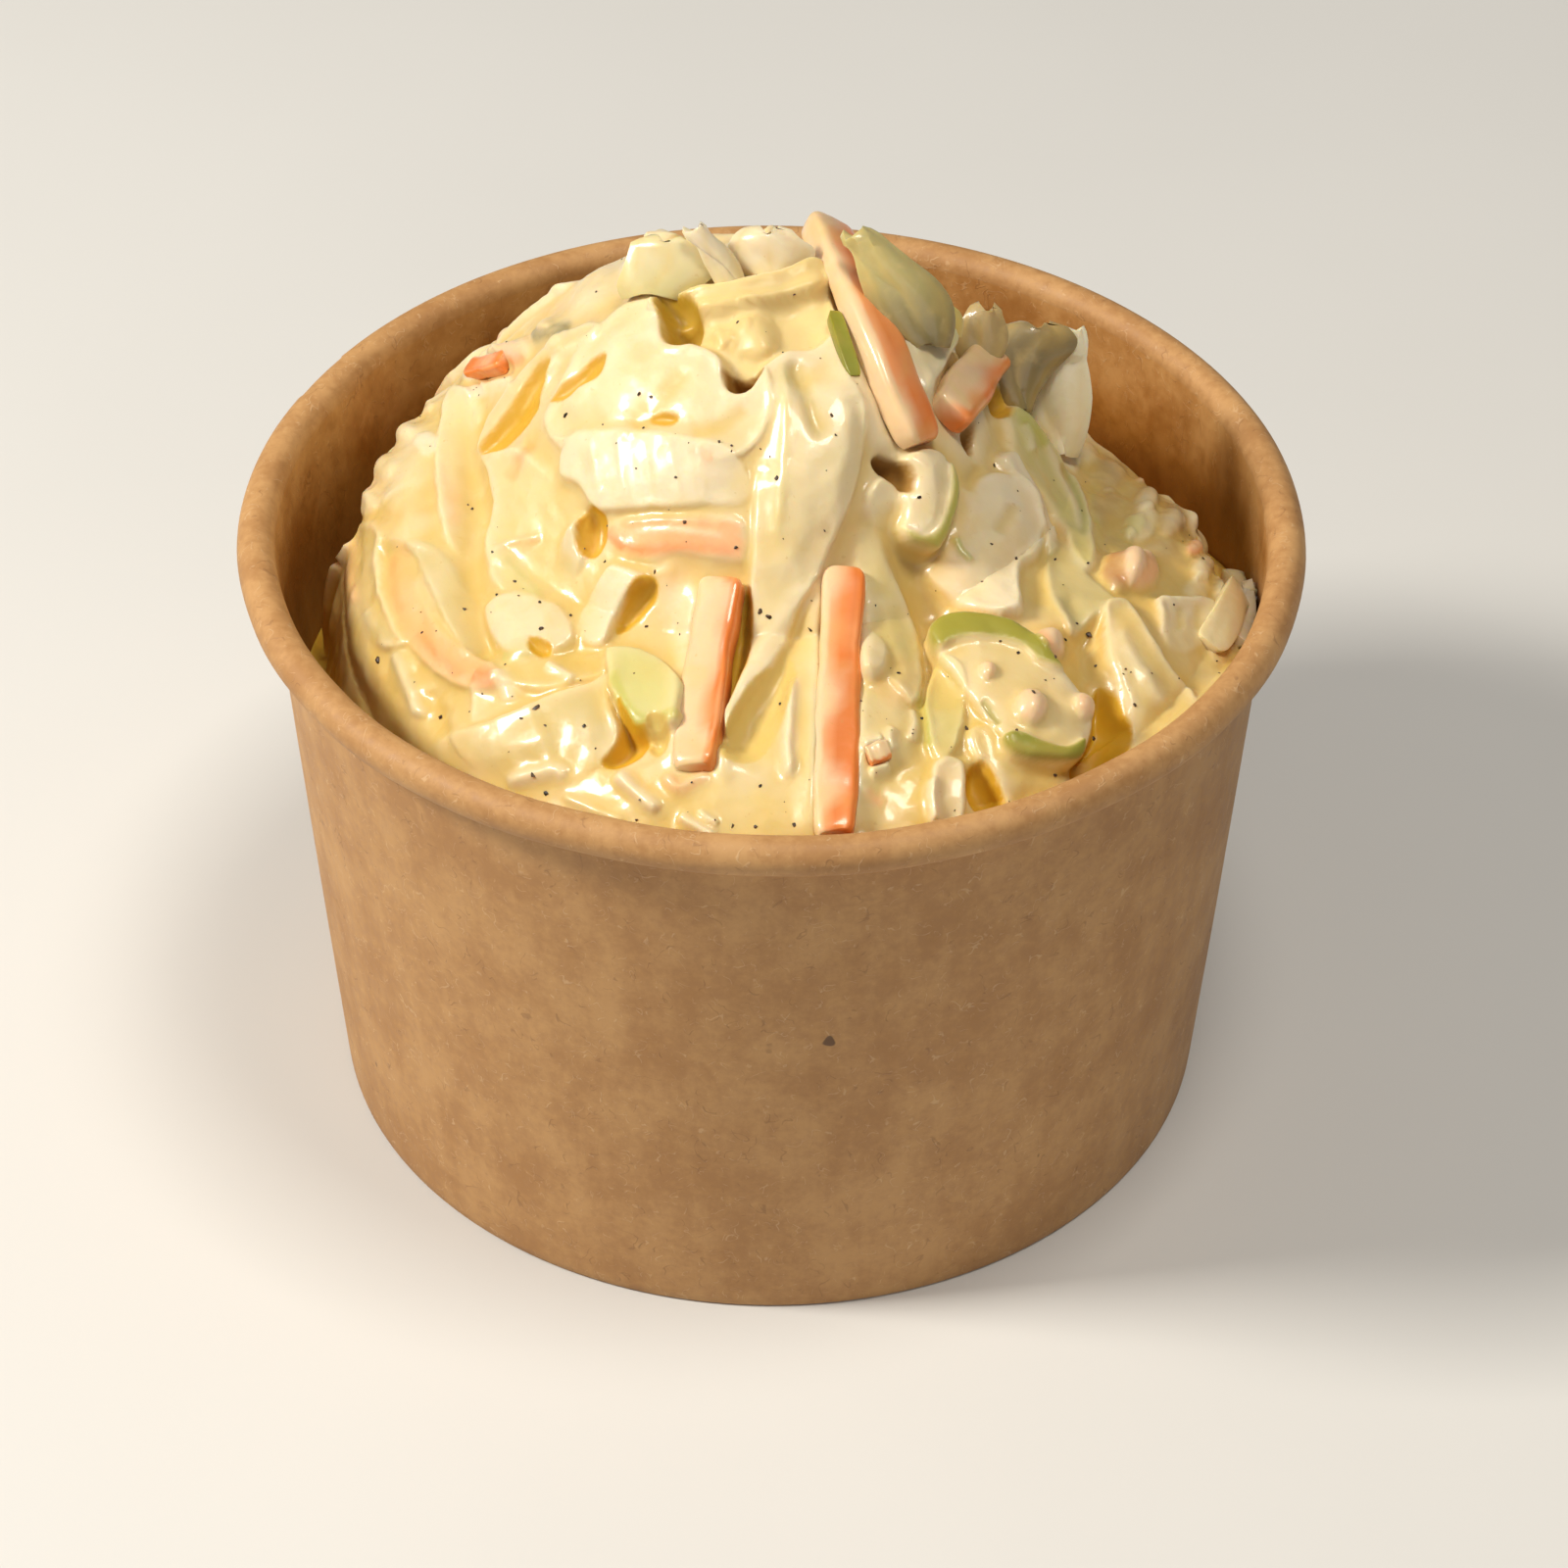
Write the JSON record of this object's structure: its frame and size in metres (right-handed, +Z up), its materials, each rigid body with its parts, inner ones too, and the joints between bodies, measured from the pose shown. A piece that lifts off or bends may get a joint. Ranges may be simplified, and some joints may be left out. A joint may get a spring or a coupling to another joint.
{
  "type": "coleslaw in a paper cup",
  "caption": "Creamy coleslaw heaped above the rim of a tapered brown kraft paper cup, with carrot, celery and cabbage showing.",
  "frame": {"origin": "centre of the cup's foot, on the surface it stands on", "axes": "+Z up along the cup's axis, -Y towards the side seen in the picture"},
  "size_m": [0.09, 0.09, 0.0767],
  "materials": {
    "kraft_wall": "matte",
    "kraft_base": "matte",
    "dressed_slaw": "satin"
  },
  "bodies": {
    "root": {"cup_wall": "kraft_wall", "cup_base": "kraft_base", "slaw": "dressed_slaw"}
  },
  "joints": []
}
